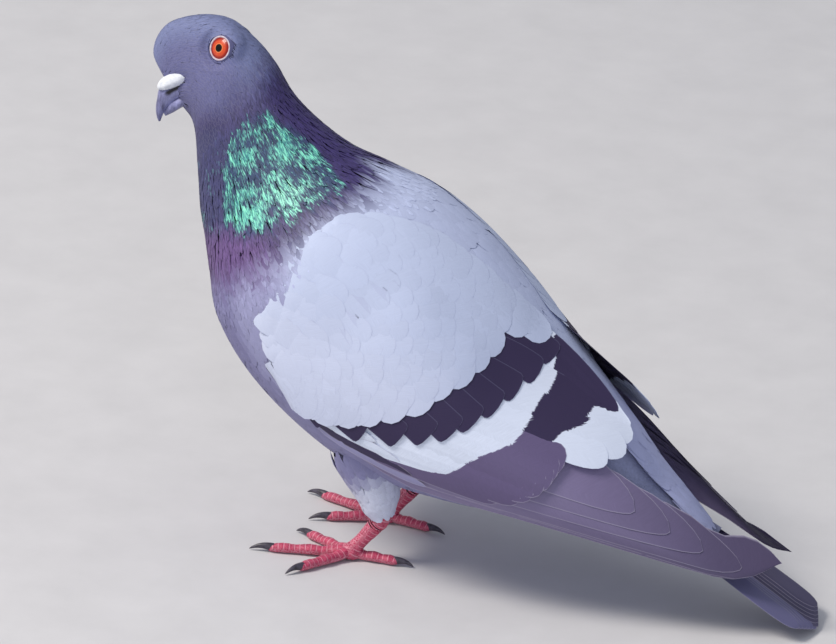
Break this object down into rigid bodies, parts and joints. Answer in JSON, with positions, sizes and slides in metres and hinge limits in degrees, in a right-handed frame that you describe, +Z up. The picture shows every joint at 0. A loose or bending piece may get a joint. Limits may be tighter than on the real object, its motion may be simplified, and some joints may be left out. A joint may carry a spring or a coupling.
{
  "type": "pigeon",
  "caption": "Life-size still model of a rock pigeon with two wing bars, standing with its head turned slightly to its left and its tail tip on the floor.",
  "frame": {"origin": "on the floor, under the middle of the bird's box", "axes": "+X towards the bird's left side, +Y from bill to tail, +Z up"},
  "size_m": [0.0992, 0.2558, 0.1812],
  "materials": {
    "slate_plumage": "matt slate blue-grey feathers",
    "neck_plumage": "glossy green to purple feathers",
    "breast_plumage": "matt mauve-grey feathers",
    "shield_plumage": "matt pale grey feathers",
    "bar_plumage": "matt near-black feather bars",
    "rump_plumage": "matt pale blue-grey feathers",
    "flight_feathers": "smooth dark grey flight feathers",
    "thigh_down": "soft whitish feathers",
    "leg_skin": "scaled crimson skin",
    "horn": "satin dark grey horn",
    "cere": "chalky white swollen skin",
    "eye": "wet glossy orange-red eye"
  },
  "bodies": {
    "root": {"bill_lower": "horn", "bill_upper": "horn", "breast": "breast_plumage", "cere": "cere", "claw_hind_left": "horn", "claw_hind_right": "horn", "claw_inner_left": "horn", "claw_inner_right": "horn", "claw_middle_left": "horn", "claw_middle_right": "horn", "claw_outer_left": "horn", "claw_outer_right": "horn", "eye_left": "eye", "eye_right": "eye", "head": "slate_plumage", "neck": "neck_plumage", "rump": "rump_plumage", "tail": "flight_feathers", "tarsus_left": "leg_skin", "tarsus_right": "leg_skin", "thigh_left": "thigh_down", "thigh_right": "thigh_down", "toe_hind_left": "leg_skin", "toe_hind_right": "leg_skin", "toe_inner_left": "leg_skin", "toe_inner_right": "leg_skin", "toe_middle_left": "leg_skin", "toe_middle_right": "leg_skin", "toe_outer_left": "leg_skin", "toe_outer_right": "leg_skin", "trunk": "breast_plumage", "wing_coverts_left": "shield_plumage", "wing_coverts_right": "shield_plumage", "wing_primaries_left": "flight_feathers", "wing_primaries_right": "flight_feathers", "wing_secondaries_left": "bar_plumage", "wing_secondaries_right": "bar_plumage"}
  },
  "joints": []
}
